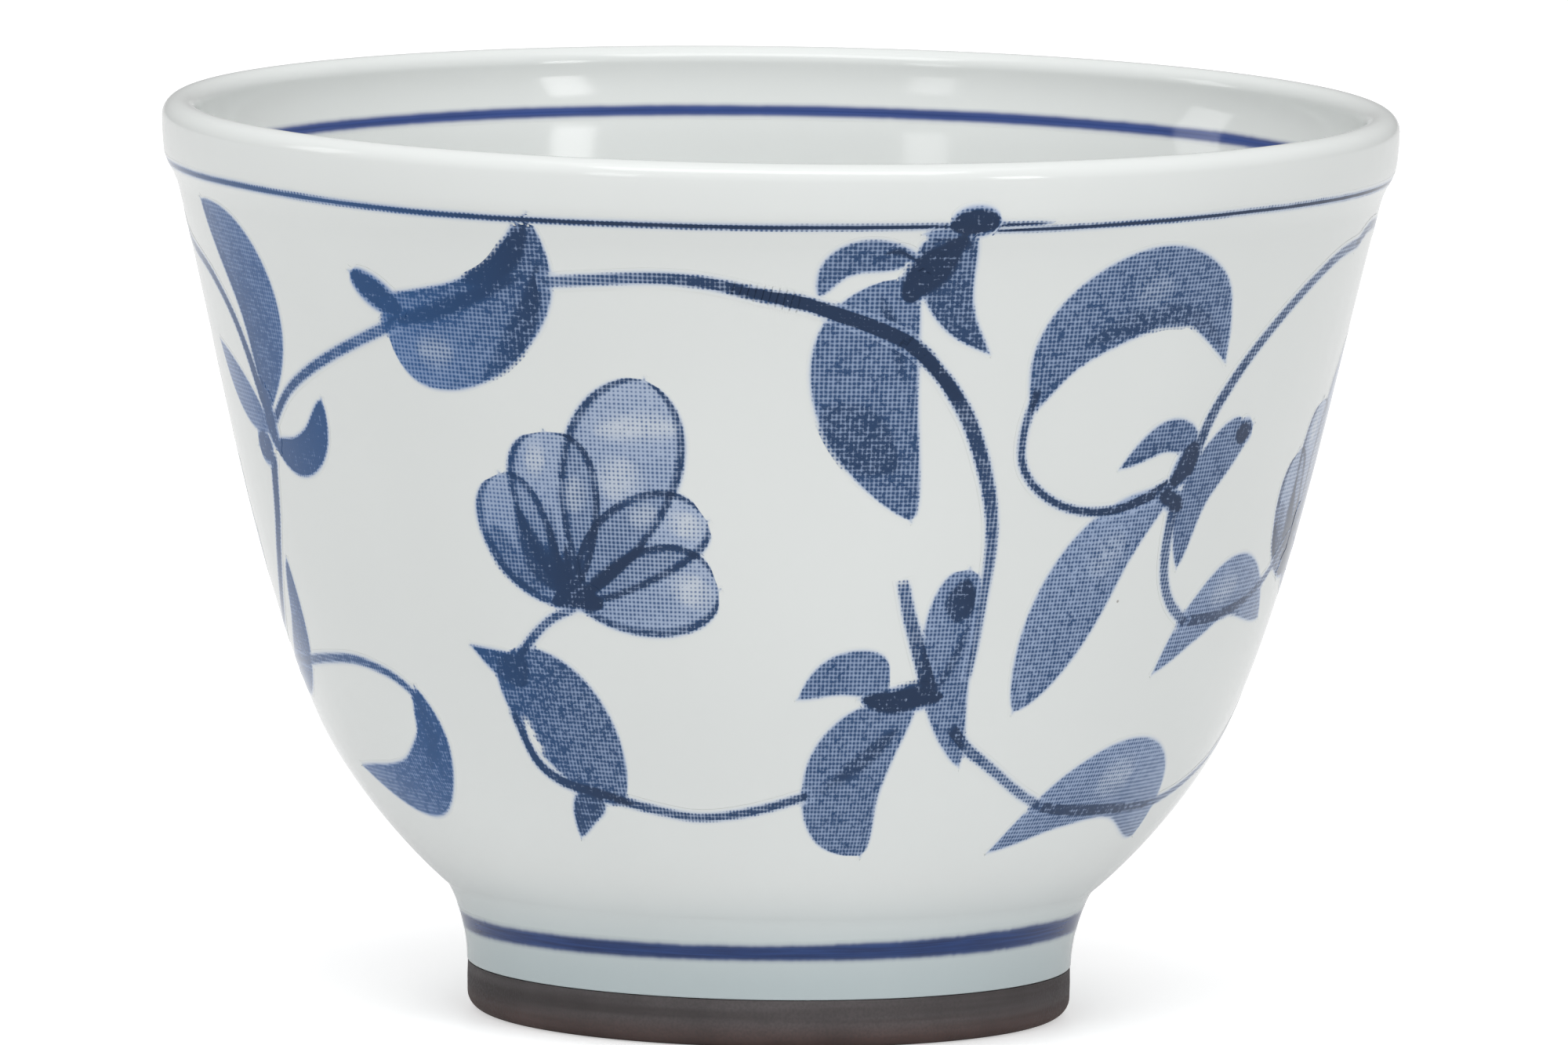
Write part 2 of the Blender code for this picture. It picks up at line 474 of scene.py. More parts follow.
iron_wash, tree, shader = new_material("iron_dressed_clay")
spot = node(tree, "TexCoord").outputs["Object"]
height = node(tree, "SeparateXYZ", [(0, spot)]).outputs["Z"]
stretched = node(tree, "Mapping", [("Vector", spot), ("Scale", (0.03, 0.03, 1.0))]).outputs[0]
rings = noise(tree, stretched, 900.0, 2.0)
sand = noise(tree, spot, 5200.0, 3.0)
patches = noise(tree, spot, 150.0, 3.0)
ringed = blend(tree, ramp(tree, rings, 0.35, 0.65), WASH_GREY, WASH_DARK)
lower = ramp(tree, height, 0.0004, 0.0022, RED_AT_BOTTOM, 0.0)
reddened = blend(tree, lower, ringed, WASH_RED)
patchy = ramp(tree, patches, 0.3, 0.7, 0.82, 1.18)
sandy = ramp(tree, sand, 0.3, 0.7, 0.85, 1.2)
unrest = maths(tree, "MULTIPLY", patchy, sandy)
dryness = ramp(tree, sand, 0.3, 0.7, 0.55, 0.8)
relief = [("Height", sand), ("Strength", 0.8), ("Distance", SAND_DEPTH)]
bump = node(tree, "Bump", relief)
plug(tree, shader, [("Base Color", vector(tree, "SCALE", reddened, unrest)),
                    ("Roughness", dryness), ("Normal", bump.outputs["Normal"])])
foot_edge.data.materials.append(iron_wash)
print("iron_dressed_clay:", len(tree.nodes), "nodes")

# %% [markdown]
# ## The transfer sheet
#
# The vine is printed flat in cobalt dots on a thin sheet, and the sheet is laid round the
# wall before glazing. So it is drawn flat here too, in millimetres across the sheet and
# up, and `lay` carries any point of it on to the wall: its place across becomes an angle,
# and its height finds the wall's radius. Angle 0 faces the front, and angles grow to the
# right.

# %% Laying the sheet round the wall
MM_PER_DEGREE = 0.628


def wall_of(outline, facing):
    """A wall to lay films on. facing is 1 for the outside of the cup and -1 for the inside."""
    rising = sorted(outline, key=lambda point: point[1])
    radii = np.array([p[0] for p in rising])
    heights = np.array([p[1] for p in rising])
    return heights, radii, np.gradient(radii, heights), facing


OUTER_WALL = wall_of(outside, 1)
INNER_WALL = wall_of([p for p in inside if p[1] > BELLY[1]], -1)


def lay(points, lift, wall):
    """Sheet points in millimetres to points on the wall in metres, lift millimetres proud."""
    heights, radii, leans, facing = wall
    angle = np.radians(points[:, 0] / MM_PER_DEGREE)
    lean = np.interp(points[:, 1], heights, leans)
    out = facing * lift / np.hypot(1.0, lean)
    radius = np.interp(points[:, 1], heights, radii) + out
    raised = points[:, 1] - lean * out
    return MM * np.stack([radius * np.sin(angle), -radius * np.cos(angle), raised], axis=1)


print("sheet length:", round(360 * MM_PER_DEGREE, 1), "mm")

# %% [markdown]
# ## Marks
#
# Every shape in the print is one kind of mark: a line with a width to its left and a width
# to its right. A stem is a thin line whose width changes slowly. A leaf is a line from root
# to tip whose widths swell and taper, and a petal is a leaf with a round end. Drawn this
# way, each takes only a few numbers: where it starts and ends, how it bends, how far it
# swells on each side, and how blunt its two ends are.

# %% A mark on the sheet
def sheet_line(places, spacing):
    """Evenly spaced sheet points on a smooth curve through (degrees, height) places."""
    points = np.array([(degree * MM_PER_DEGREE, height) for degree, height in places])
    padded = np.vstack([2 * points[0] - points[1], points, 2 * points[-1] - points[-2]])
    fine = []
    for a, b, c, d in zip(padded, padded[1:], padded[2:], padded[3:]):
        t = np.linspace(0.0, 1.0, 24, endpoint=False)[:, None]
        fine.append(0.5 * (2 * b + (c - a) * t + (2 * a - 5 * b + 4 * c - d) * t**2
                           + (3 * b - a - 3 * c + d) * t**3))
    fine = np.vstack(fine + [points[-1:]])
    along = np.append(0.0, np.cumsum(np.linalg.norm(np.diff(fine, axis=0), axis=1)))
    count = max(int(round(along[-1] / spacing)), 3)
    even = np.linspace(0.0, along[-1], count + 1)
    return np.stack([np.interp(even, along, fine[:, k]) for k in (0, 1)], axis=1)


def soft_step(value, low, high):
    """0 below low, 1 above high and smooth between."""
    t = np.clip((value - low) / (high - low), 0.0, 1.0)
    return t * t * (3 - 2 * t)


class Mark:
    """A line on the sheet with a width on each side, and how much ink it holds.

    tones are at the root, the tip, the left edge and the right edge, and wash is at the
    root and the tip. In a bare mark, wash is its strength and how soft its edge is.
    """

    def __init__(self, line, left, right, tones, wash, grain=0.0, outline=0.0, layer=0):
        self.line = line
        self.left = left
        self.right = right
        self.tones = tones
        self.wash = wash
        self.grain = grain
        self.outline = outline
        self.layer = layer

    def further_round(self, degrees_on):
        """The same mark, printed again further round the cup."""
        line = self.line + np.array((degrees_on * MM_PER_DEGREE, 0.0))
        return Mark(**{**vars(self), "line": line})

    def near(self, points):
        """Which points lie in the mark's box."""
        reach = max(self.left.max(), self.right.max()) + 0.3
        low = self.line.min(axis=0) - reach
        high = self.line.max(axis=0) + reach
        return np.all((points > low) & (points < high), axis=1)

    def measure(self, points):
        """For each point: how far along, how far across, and how deep inside the edge."""
        a = self.line[:-1]
        run = self.line[1:] - a
        away = points[:, None, :] - a[None]
        share = np.clip((away * run).sum(2) / (run * run).sum(1), 0.0, 1.0)
        gap = away - share[:, :, None] * run
        nearest = np.argmin((gap * gap).sum(2), axis=1)
        pick = np.arange(len(points))
        gap = gap[pick, nearest]
        run = run[nearest]
        steps = nearest + share[pick, nearest]
        distance = np.hypot(gap[:, 0], gap[:, 1])
        side = np.sign(run[:, 0] * gap[:, 1] - run[:, 1] * gap[:, 0])
        count = np.arange(len(self.line))
        left = np.interp(steps, count, self.left)
        right = np.interp(steps, count, self.right)
        width = np.where(side > 0, left, right)
        across = side * distance / np.maximum(width, 0.05)
        return steps / (len(self.line) - 1), np.clip(across, -1, 1), width - distance


def laps(marks, degrees_on):
    """The same marks printed again, this many degrees further round."""
    return [mark.further_round(turned) for turned in degrees_on for mark in marks]


# %% [markdown]
# Seven ways of drawing give all the marks. `stem`, `leaf`, `knot` and `petal` lay ink,
# `shade` darkens what is there with more dots, and `bare` and `fade` take ink away. Tones
# run from 0, no dots, to 1, solid ink. A leaf states four of them, at its root, its tip, its
# left edge and its right edge, as a printer shades a leaf from one side.

# %% Stems, leaves, petals and knots
BARE, SHADE, LEAVES, STEMS, KNOTS = -2, -1, 0, 1, 2
PETAL_LINE = 0.55


def widths(line, root_taper, tip_taper):
    """A swelling width from 0 to 1 to 0. A small taper gives a blunt end."""
    t = np.linspace(0.0, 1.0, len(line))
    top = root_taper / (root_taper + tip_taper)
    peak = top**root_taper * (1 - top) ** tip_taper
    return t**root_taper * (1 - t) ** tip_taper / peak


def stem(points, half_widths, tone=(0.5, 0.5)):
    """A thin line whose half width follows a few stated values. tone is at root and tip."""
    middle = 0.5 * (tone[0] + tone[1])
    tones = (2 * tone[0] - middle, 2 * tone[1] - middle, middle, middle)
    line = sheet_line(points, 0.45)
    t = np.linspace(0.0, 1.0, len(line))
    half = np.interp(t, np.linspace(0.0, 1.0, len(half_widths)), half_widths)
    return Mark(line, half, half, tones, (0.8, 0.8), layer=STEMS)


def leaf(points, left, right, ends, tones, grain=0.2, right_ends=None):
    """A leaf along a bent line from root to tip. Its two sides may swell differently."""
    line = sheet_line(points, 0.3)
    left_edge = left * widths(line, *ends)
    right_edge = right * widths(line, *(right_ends or ends))
    return Mark(line, left_edge, right_edge, tones, (1.0, 1.0), grain)


def blot(points, spacing, left, right, ends, tones, wash, **more):
    """A mark along a bent line whose two sides swell alike."""
    line = sheet_line(points, spacing)
    swell = widths(line, *ends)
    return Mark(line, left * swell, right * swell, tones, wash, **more)


def knot(points, half, tone=0.97):
    """A short blunt blot, where leaves meet."""
    return blot(points, 0.25, half, half, (0.5, 0.5), (tone,) * 4, (0.9, 0.9), grain=0.6,
                layer=KNOTS)


def petal(points, left, right, pale, ends):
    """A round-ended pale petal with a dark outline."""
    return blot(points, 0.2, left, right, ends, (0.5, pale, 0.22, 0.22), (1.0, 0.8), grain=0.1,
                outline=PETAL_LINE)


def shade(points, left, right, tones):
    """Extra dots over a leaf or petal. tones are at its root and tip."""
    return blot(points, 0.3, left, right, (0.6, 0.8), (*tones, *tones), (0.6, 0.3), layer=SHADE)


def bare(points, half):
    """A sliver with a firm edge that the printer left white inside a leaf."""
    return blot(points, 0.2, half, half, (0.6, 0.6), (0,) * 4, (0.9, 0.15), layer=BARE)


def fade(points, half, strength):
    """A soft pale patch inside a leaf or petal, where the ink lies thin."""
    return blot(points, 0.3, half, half, (0.4, 0.4), (0,) * 4, (strength, half), layer=BARE)


# %% [markdown]
# ## Drawing the vine
#
# The pattern is a flowering scroll, as on much everyday blue and white ware. One long stem
# swings up and over, and sprays of leaves hang from it. Each place is (degrees round the
# cup, height in millimetres). A stem or leaf is listed from its root to its tip, and left
# and right are as seen when walking that way.

# %% The left side: a spray, a hooked leaf and a heart leaf
vine = {}
vine["left_spray"] = [
    stem([(-92, 54.4), (-84, 52.8), (-77, 51.6), (-73, 50.2), (-70, 48.3), (-68, 46), (-66.3, 43)],
         (0.35, 0.35, 0.35, 0.4, 0.5), (0.6, 0.8)),
    leaf([(-65.3, 42), (-65.6, 49.5), (-72.7, 56.2)], 1.4, 4.4, (0.95, 0.8),
         (0.75, 0.45, 0.8, 0.3)),
    leaf([(-66.2, 41), (-71.6, 43.3), (-77.8, 46.2)], 1.9, 1.2, (0.7, 0.9),
         (0.5, 0.4, 0.3, 0.45)),
    leaf([(-65.2, 40), (-60.2, 39.6), (-56.2, 40.9), (-53.6, 43.8)], 1.2, 1.5, (0.6, 0.7),
         (0.95, 0.75, 0.8, 0.6)),
    knot([(-66.2, 39.7), (-70.4, 39.6)], 1.25, 0.8),
    knot([(-65.5, 43.9), (-65.4, 41.4), (-64.6, 39.6)], 0.9),
]
vine["left_stems"] = [
    stem([(-64.6, 41.5), (-60, 43.9), (-55, 45.7), (-50, 47.2), (-45, 48.6), (-41, 49.7)],
         (0.3, 0.3, 0.32, 0.34, 0.36), (0.7, 0.4)),
    stem([(-66.8, 38.8), (-69, 35.5), (-71.5, 33), (-75, 30.3), (-80, 27.6), (-86, 25.8)],
         (0.5, 0.42, 0.38, 0.32), (0.8, 0.6)),
]
vine["low_left_leaves"] = [
    leaf([(-88, 22.6), (-80, 23.6), (-73.2, 26.6), (-70.2, 31.8)], 1.6, 1.8, (0.8, 0.8),
         (0.5, 0.7, 0.5, 0.6)),
    stem([(-74, 24.6), (-66, 25.3), (-58, 25.7), (-52, 25.2), (-48.6, 24.3), (-47.2, 23.4)],
         (0.3, 0.28, 0.28, 0.26), (0.55, 0.55)),
    leaf([(-47.3, 24.4), (-46.9, 20.4), (-51.5, 17.5), (-58, 16.8), (-68.5, 17.7)], 2, 2.1,
         (0.7, 1.05), (0.8, 0.35, 0.5, 0.5), 0.7),
    shade([(-47.3, 24), (-47.2, 20.4), (-51, 18.4)], 0.9, 0.8, (0.6, 0.3)),
]
vine["heart_leaf"] = [
    leaf([(-42.2, 50.2), (-37, 50.7), (-31.5, 51.8), (-27, 53.9), (-23.8, 58.1)], 1.6, 5.4,
         (0.14, 0.5), (0.3, 0.8, 0.6, 0.2), 0.4, (0.42, 0.95)),
    shade([(-43, 49.8), (-37, 50.6), (-30, 52.4), (-24, 54.2)], 0.8, 0.9, (0.7, 0.6)),
    shade([(-31, 46.2), (-27, 48.2), (-24.2, 51.5), (-23.2, 55)], 1.6, 0.8, (0.2, 0.6)),
    shade([(-32, 53.2), (-27.6, 55), (-24, 57.6)], 0.8, 1.6, (0.5, 0.8)),
    fade([(-38.4, 48.2), (-33.4, 48.2)], 1.7, 0.2),
    knot([(-45.6, 53.1), (-42.6, 51.8), (-39.4, 50.6)], 1.05, 1),
]

# %% [markdown]
# The flower is five broad petals fanned from one point. The outline of every petal shows
# through its neighbours, because each was printed in the same thin ink. Extra dots darken
# the root, and soft pale patches near the tips make the petals look cupped.

# %% The flower and the bud leaf below it
vine["flower"] = [
    petal([(-20.8, 31.8), (-17.2, 39.5), (-13.2, 47.1)], 3.9, 4.2, 0.13, (0.9, 0.55)),
    petal([(-22.8, 31.6), (-23.5, 37.5), (-24.2, 43.2)], 3.2, 3.3, 0.14, (0.75, 0.36)),
    petal([(-22.8, 31.2), (-27.2, 35), (-29.8, 40.1)], 3, 2.4, 0.2, (0.7, 0.4)),
    petal([(-21.8, 31.7), (-14.6, 35.1), (-7.1, 37.5)], 3.7, 2.3, 0.1, (0.62, 0.4)),
    petal([(-21.6, 31.1), (-14, 31.8), (-6, 32.8)], 3.8, 2.6, 0.26, (0.75, 0.42)),
    shade([(-23.2, 31.8), (-26.2, 34.6), (-28.4, 38.4)], 1.4, 1.1, (0.7, 0.45)),
    shade([(-23, 31.6), (-24.2, 34.4), (-24.2, 38.2)], 0.7, 0.9, (0.8, 0.3)),
    shade([(-21.6, 32), (-17.4, 33.8), (-12.6, 36.2)], 0.9, 0.6, (0.85, 0.4)),
    shade([(-31.5, 36.8), (-29.4, 34), (-25, 31.8)], 1.2, 1.4, (0.35, 0.45)),
    fade([(-19, 43.4), (-13.6, 43.9), (-9.4, 43.8)], 1.4, 0.28),
    fade([(-17.6, 38.6), (-15.2, 41.8)], 2.2, 0.25),
    fade([(-26.8, 41.4), (-24.2, 41)], 1.6, 0.25),
    fade([(-21.6, 37.6), (-21.2, 40.4)], 1.2, 0.2),
    fade([(-10, 36.2), (-8.8, 38.2)], 1.8, 0.28),
    fade([(-10, 31.6), (-8, 33.8)], 2.1, 0.28),
    fade([(-15.6, 37.2), (-12.2, 38.2)], 1.3, 0.2),
    knot([(-25.2, 31.4), (-22.2, 31.9), (-18.8, 31.3)], 0.95, 0.85),
    knot([(-22.3, 31.2), (-22.6, 33.4), (-22.9, 35.8)], 0.5, 0.8),
]
vine["bud_leaf"] = [
    stem([(-22.5, 31.1), (-25.5, 30.2), (-28, 28.9), (-30.2, 27.4)], (0.26, 0.28, 0.32)),
    leaf([(-32.8, 27.3), (-27, 22.8), (-19.6, 17.4)], 4.4, 2.6, (0.5, 0.62),
         (0.65, 0.35, 0.4, 0.5), 0.8),
    leaf([(-29.2, 26.3), (-33, 27), (-36.6, 27.9)], 1.3, 0.9, (0.3, 1),
         (0.6, 0.6, 0.55, 0.6), 0.4),
    leaf([(-22.8, 18.3), (-25.4, 17), (-27.3, 14.8)], 1.4, 0.9, (0.3, 0.8),
         (0.6, 0.65, 0.5, 0.6), 0.4),
    stem([(-32.3, 23.2), (-30.4, 20.1), (-27, 18.7), (-23, 18.2), (-19, 17.6)],
         (0.3, 0.38, 0.3), (0.7, 0.7)),
    bare([(-31, 23.3), (-30.3, 21.7), (-29.2, 20.6)], 0.34),
    stem([(-20, 17.7), (-15, 17.1), (-10, 16.7), (-5, 16.95), (0, 17.6), (4.4, 18.4)],
         (0.34, 0.3, 0.28, 0.3, 0.3), (0.5, 0.55)),
]

# %% The long stem and the sprays on it
vine["long_stem"] = [
    stem([(-22.6, 53.5), (-18, 53.8), (-12, 54.1), (-7, 53.9), (-2, 53.2), (2, 52.6)],
         (0.36, 0.38, 0.4, 0.42, 0.44), (0.32, 0.75)),
    stem([(-4, 53.5), (2, 52.7), (6, 51.8), (10, 50.8), (14, 49.3), (18, 46.2)],
         (0.2, 0.44, 0.52, 0.52, 0.5, 0.3), (0.85, 0.9)),
    stem([(13, 49.8), (16, 47.9), (18, 46.2), (20, 44), (22, 40.8), (23.2, 38), (23.6, 35.6),
          (23.5, 33), (23.2, 29), (22.9, 27)], (0.4, 0.5, 0.5, 0.42, 0.3, 0.26), (0.72, 0.34)),
]
vine["top_spray"] = [
    leaf([(12.4, 55.8), (8, 55.9), (5.3, 55), (3.8, 53.1)], 1.15, 1, (0.4, 0.7),
         (0.5, 0.45, 0.45, 0.4), 0.4),
    leaf([(12.8, 54.4), (12.6, 46), (14.3, 37.7)], 0.95, 5.8, (0.5, 0.4),
         (0.35, 0.5, 0.45, 0.4), 0.5, (0.52, 0.82)),
    shade([(4.6, 45.5), (9, 42.6), (13, 41)], 2.6, 2.2, (0.2, 0.25)),
    shade([(9.5, 53.5), (11.5, 50), (12.6, 46.5)], 0.8, 0.8, (0.4, 0.1)),
    shade([(12.2, 53.2), (14, 54.6), (17.5, 56.8)], 1.5, 1.5, (0.7, 0.8)),
    leaf([(17.2, 57.3), (17.2, 54), (18.3, 51.5), (21, 49.1)], 1.1, 2.5, (0.2, 0.9),
         (0.45, 0.6, 0.5, 0.5), 0.4),
    leaf([(13.6, 57.4), (16.2, 57.4), (18.4, 56.4)], 0.3, 0.7, (0.5, 0.4), (0.2, 0.3, 0.25, 0.3)),
    knot([(12.2, 52.6), (13.6, 54.3), (15.4, 55.8)], 1.05, 0.85),
    knot([(13.8, 54.8), (15.5, 55.9), (18, 57.2)], 0.7, 0.85),
    knot([(9.8, 56), (11.8, 56.1), (13.8, 55)], 0.36, 0.85),
    knot([(15.8, 57.9), (18.4, 58.2), (20.8, 58.2)], 1.1, 0.92),
]
vine["low_spray"] = [
    leaf([(13.6, 25.9), (8, 26.2), (3, 25.3)], 0.65, 2.5, (0.35, 0.8),
         (0.3, 0.45, 0.4, 0.4), 0.5),
    leaf([(16.7, 24.9), (13.2, 21.5), (11.6, 18), (12.8, 14)], 1.3, 4.9, (0.6, 0.5),
         (0.35, 0.5, 0.4, 0.35), 0.6, (0.8, 0.6)),
    leaf([(23.7, 20.4), (21.2, 25), (20.6, 29.5), (21.5, 34.2)], 2.3, 1.55, (0.7, 0.38),
         (0.45, 0.3, 0.25, 0.4), 0.7),
    shade([(17.6, 24.6), (20.6, 27.5), (22.6, 31.5)], 0.7, 0.7, (0.4, 0.3)),
    shade([(20.4, 30.4), (21.4, 33.8)], 1.5, 1.5, (0.3, 0.8)),
    shade([(15.5, 23.4), (11, 20.8), (5.5, 18.4)], 0.9, 1, (0.4, 0.25)),
    shade([(19.5, 26.6), (15, 25.2), (10, 25)], 1.2, 1.2, (0.6, 0.5)),
    stem([(17.9, 26.6), (16.2, 29.2), (15, 31.2), (14.2, 33)], (0.6, 0.5, 0.4), (0.6, 0.42)),
    knot([(10.2, 25.3), (13.4, 25.1), (16.4, 25.3), (20.4, 25.4)], 0.95, 0.8),
    stem([(22.2, 22.9), (24.4, 21.6), (27, 20.6), (31, 19.1), (34, 18.1), (37.5, 17.2)],
         (0.45, 0.34, 0.3, 0.3), (0.5, 0.3)),
]

# %% The right side: a hooked leaf, a spray and two resting leaves
vine["hooked_leaf"] = [
    leaf([(26.3, 44.7), (28.6, 48.8), (33, 51.6), (39.5, 53.2), (45.5, 52.3), (48.4, 50.1),
          (50.6, 47.5)], 2.75, 3, (1, 1), (0.5, 0.4, 0.3, 0.45), 0.7),
    shade([(31, 49.5), (38, 51.2), (46, 50.8), (50.4, 48)], 0.9, 1.6, (0.15, 0.2)),
    fade([(36.5, 52.4), (41.5, 53.4)], 2, 0.09),
    stem([(26.7, 46.2), (25.8, 43.6), (26, 41.5), (27.6, 39.9), (30.5, 38.6), (34, 37.9),
          (38, 37.8), (42, 38.4), (46.2, 39.4)],
         (0.3, 0.26, 0.26, 0.26, 0.3, 0.38, 0.5), (0.5, 0.75)),
]
vine["right_spray"] = [
    leaf([(48.6, 42.1), (43.8, 42.7), (38.2, 40.7)], 1.15, 1.05, (0.4, 0.85),
         (0.4, 0.55, 0.5, 0.35), 0.4),
    leaf([(46.8, 39.4), (37.4, 34.6), (29.6, 24.1)], 2.9, 2.95, (0.95, 0.75),
         (0.2, 0.45, 0.35, 0.1), 1),
    fade([(40.5, 36.2), (36.5, 33.2)], 2, 0.1),
    leaf([(49.5, 33.4), (50.6, 38.4), (56.9, 42.9)], 2.1, 1.35, (0.7, 0.35),
         (0.45, 0.35, 0.35, 0.45), 0.4),
    knot([(55, 41.9), (58, 42.8)], 0.95, 0.6),
    knot([(48.6, 42.2), (47.2, 40.2), (45.6, 39.2)], 1, 0.75),
    knot([(44.2, 38.6), (46.4, 38.2), (48.4, 37.4)], 0.8, 0.75),
    stem([(48.2, 40.2), (50, 43.5), (52.3, 45.8), (55.3, 48), (59.5, 50.3), (64.5, 52.3),
          (70, 53.7), (76, 54.2)], (0.5, 0.42, 0.38, 0.36, 0.34), (0.55, 0.4)),
    stem([(46.9, 38), (47, 35), (47.9, 32.6), (50, 30.8), (53.4, 29.4)], (0.48, 0.38, 0.34),
         (0.5, 0.4)),
]
vine["mid_leaf"] = [
    leaf([(50.1, 26), (56, 29.5), (63, 31.4), (73.8, 28.5)], 2.2, 2, (0.95, 0.9),
         (0.35, 0.25, 0.15, 0.35), 0.5),
    fade([(57.5, 30.6), (63.5, 31.8)], 1.8, 0.15),
    stem([(53, 29.4), (60, 29.5), (66, 30.1), (71, 31.3), (76, 33.4), (80, 34.4)],
         (0.45, 0.42, 0.32, 0.28), (0.45, 0.35)),
]
vine["low_leaf"] = [
    leaf([(32.8, 13.9), (43, 17.2), (54, 17.9), (65.5, 13.8)], 3.3, 2.3, (0.95, 0.75),
         (0.4, 0.2, 0.1, 0.4), 0.5),
    fade([(46.5, 18.4), (53.5, 19)], 2.2, 0.15),
    stem([(37, 17.2), (42, 16.7), (50, 16.4), (58, 16.2), (64, 16.3), (71, 17.1), (78, 18.4)],
         (0.4, 0.45, 0.38, 0.28, 0.26), (0.5, 0.35)),
]
print("drawn:", ", ".join(vine))

# %% [markdown]
# ## Cobalt in dots
#
# Printed cobalt has no half tones. The printer makes a pale blue from small dots and a dark
# one from dots so large that they run together, over a thin wash that has bled out of them.
# Here the sheet is ruled into square cells, each cell holds one dot, and the dot's size
# follows the tone of the ink there. A little noise makes the dots ragged, as the glaze
# pulls at them in the kiln. Round the left of the front, and half a turn on, the print is
# painted a purer blue. This is painted reflection: it stands in for the weaker reflection
# of the white room on that side of the glaze, not for a change in the cobalt.

# %% The cobalt effect
DOT_PITCH = 0.29
DOT_GROWTH = 0.53
DOT_MERGE = 0.36
DOT_SOFTNESS = 0.26
WASH_STRENGTH = 0.85
BLED_STRENGTH = 0.42
# Painted reflection: round this angle, and half a turn on, the print is made a purer blue,
# standing in for the glaze reflecting less light there.
PAINTED_BLUE_SIDE = -62
PAINTED_BLUE_STRENGTH = 0.42
HALF_TURN_WAVE = radians(2 / MM_PER_DEGREE)
BLUE_WITHOUT_REFLECTION = (0.010, 0.115, 0.360, 1.0)
WASH_BLUE = (0.270, 0.365, 0.560, 1.0)
PALE_DOT_BLUE = (0.055, 0.115, 0.26, 1.0)
DOT_BLUE = (0.020, 0.060, 0.155, 1.0)
SOLID_BLUE = (0.008, 0.026, 0.072, 1.0)

cobalt, start, end = effect(
    "cobalt_dots",
    [("Sheet", "Vector"), ("Ink", "Color"), ("Clean glaze", "Color")],
    [("Colour", "Color")],
)
ink = node(cobalt, "SeparateXYZ", [(0, start.outputs["Ink"])])
wash, tone, grain = ink.outputs["X"], ink.outputs["Y"], ink.outputs["Z"]
sheet = start.outputs["Sheet"]
unrest = maths(cobalt, "SUBTRACT", noise(cobalt, sheet, 2.2, 3.0, 0.7), 0.5)
grain_reach = maths(cobalt, "MULTIPLY_ADD", grain, 1.3, 0.7)
cloud = maths(cobalt, "MULTIPLY_ADD", noise(cobalt, sheet, 0.55, 2.0), 0.5, -0.25)
stirred = maths(cobalt, "MULTIPLY_ADD", unrest, grain_reach, cloud)
inked = maths(cobalt, "GREATER_THAN", tone, 0.004)
loaded = maths(cobalt, "MULTIPLY_ADD", stirred, inked, tone)
cell = vector(cobalt, "SCALE", sheet, 1.0 / DOT_PITCH)
centred = vector(cobalt, "SUBTRACT", vector(cobalt, "FRACTION", cell), (0.5, 0.5, 0.0))
flat = vector(cobalt, "MULTIPLY", centred, (1.0, 1.0, 0.0))
reach = node(cobalt, "VectorMath", [(0, flat)], operation="LENGTH").outputs["Value"]
root = maths(cobalt, "SQRT", maths(cobalt, "MAXIMUM", loaded, 0.0))
merged = ramp(cobalt, loaded, 0.7, 1.0, 0.0, DOT_MERGE)
size = maths(cobalt, "MULTIPLY_ADD", root, DOT_GROWTH, merged)
depth = maths(cobalt, "SUBTRACT", size, reach)
dot = ramp(cobalt, depth, -DOT_SOFTNESS, DOT_SOFTNESS)
covered = maths(cobalt, "MULTIPLY", dot, ramp(cobalt, tone, 0.0, 0.12))
wash_share = maths(cobalt, "MULTIPLY", wash, WASH_STRENGTH)
washed = blend(cobalt, wash_share, start.outputs["Clean glaze"], WASH_BLUE)
bled = blend(cobalt, maths(cobalt, "MULTIPLY", tone, BLED_STRENGTH), washed, PALE_DOT_BLUE)
small = blend(cobalt, ramp(cobalt, tone, 0.05, 0.5), PALE_DOT_BLUE, DOT_BLUE)
deep = blend(cobalt, ramp(cobalt, tone, 0.6, 1.0), small, SOLID_BLUE)
printed = blend(cobalt, covered, bled, deep)
# Painted reflection: blend the print towards a purer blue round the left of the front, where the
# glaze reflects less of the room.
across = node(cobalt, "SeparateXYZ", [(0, sheet)]).outputs["X"]
turned = maths(cobalt, "MULTIPLY_ADD", across, HALF_TURN_WAVE, radians(-2 * PAINTED_BLUE_SIDE))
painted_blue_share = ramp(cobalt, maths(cobalt, "COSINE", turned), 0.0, 1.0, 0.0, PAINTED_BLUE_STRENGTH)
blue_sided = blend(cobalt, maths(cobalt, "MULTIPLY", painted_blue_share, wash), printed, BLUE_WITHOUT_REFLECTION)
plug(cobalt, end, [("Colour", blue_sided)])

# %% The printed glaze material
def sheet_and_ink(tree):
    """The place on the sheet and the ink there, as every film stores them."""
    sheet = node(tree, "UVMap", uv_map="transfer").outputs["UV"]
    return sheet, node(tree, "Attribute", attribute_name="ink").outputs["Color"]


printed_glaze, tree, shader, white = glazed_material("printed_white_glaze")
sheet, ink = sheet_and_ink(tree)
print_in = place(tree, cobalt, [("Sheet", sheet), ("Ink", ink), ("Clean glaze", white)])
plug(tree, shader, [("Base Color", print_in.outputs["Colour"])])
print("printed_white_glaze:", len(tree.nodes), "nodes")

# %% [markdown]
# ## Films on the wall
#
# Each mark becomes a film: a strip of mesh that follows the mark's line, a touch wider than
# its ink, laid round the wall a few hundredths of a millimetre proud. It starts as a grid,
# whose columns become the steps along the line and whose rows become the places across it.
# Rows are packed close at the edge, where the ink ends. Each point stores how much ink lies
# at that place of the sheet, from every mark that crosses there, so the ink runs on where
# films overlap. Films that belong together are joined, and Solidify thickens them.

